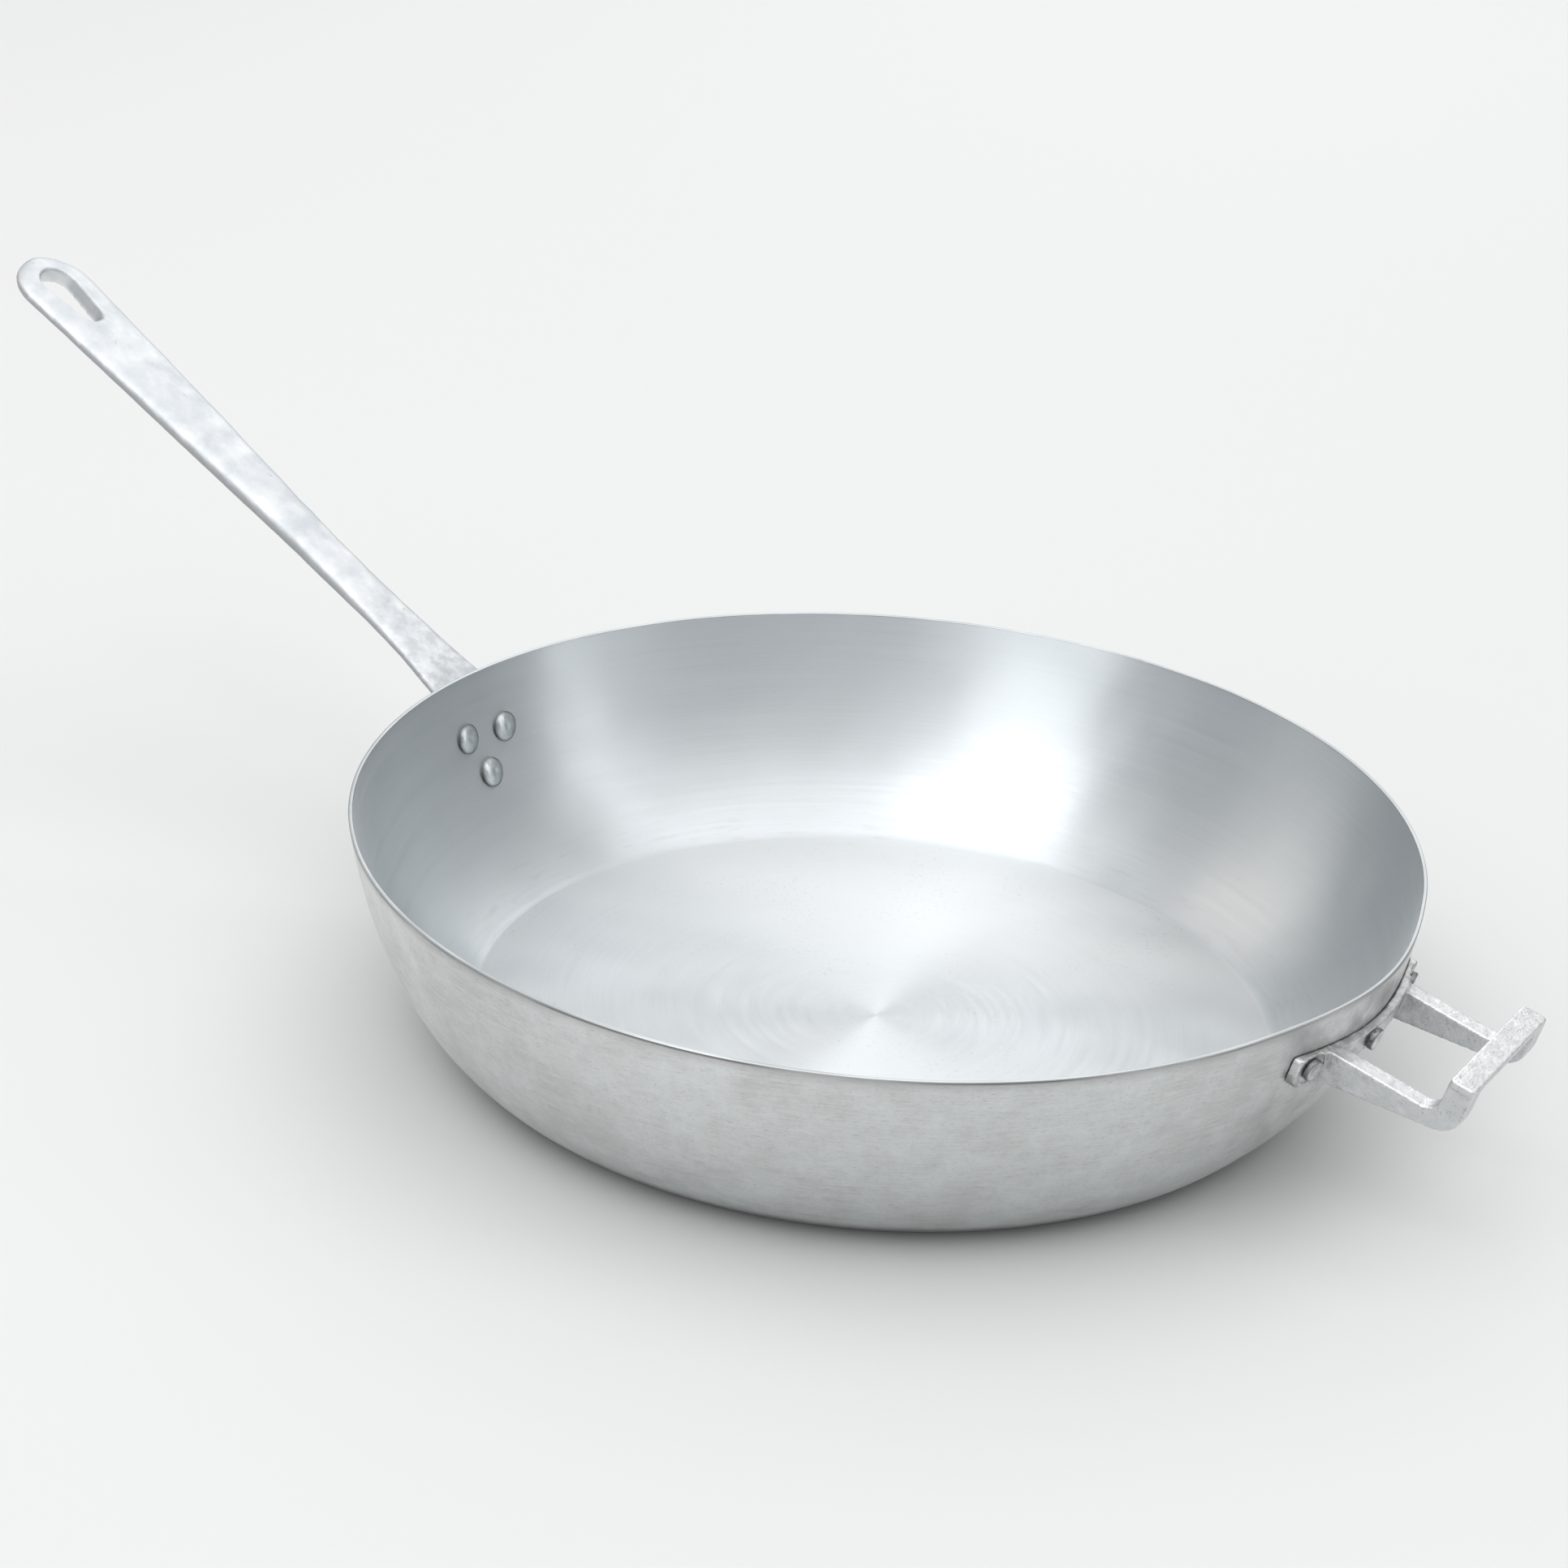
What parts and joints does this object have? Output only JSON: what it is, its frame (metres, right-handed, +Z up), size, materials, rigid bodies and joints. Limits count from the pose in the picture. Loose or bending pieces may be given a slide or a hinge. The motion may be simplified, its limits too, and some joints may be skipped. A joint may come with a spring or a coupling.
{
  "type": "frying pan",
  "caption": "Large round aluminium frying pan with curved walls, a long rising cast handle with a hanging hole and a looped helper handle, both riveted on.",
  "frame": {"origin": "centre of the pan's flat underside", "axes": "+Z up along the pan's axis; the long handle leaves the pan along -X and the helper handle along +X, turned a few degrees towards +Y"},
  "size_m": [0.7812, 0.45, 0.2242],
  "materials": {
    "spun_aluminium": "satin, brushed round the axis",
    "cast_aluminium": "tumbled casting, slightly pitted",
    "rivet_aluminium": "satin"
  },
  "bodies": {
    "root": {"pan_body": "spun_aluminium", "long_handle": "cast_aluminium", "helper_handle": "cast_aluminium", "handle_rivet_left": "rivet_aluminium", "handle_rivet_right": "rivet_aluminium", "handle_rivet_low": "rivet_aluminium", "helper_rivet_left": "rivet_aluminium", "helper_rivet_middle": "rivet_aluminium", "helper_rivet_right": "rivet_aluminium"}
  },
  "joints": []
}
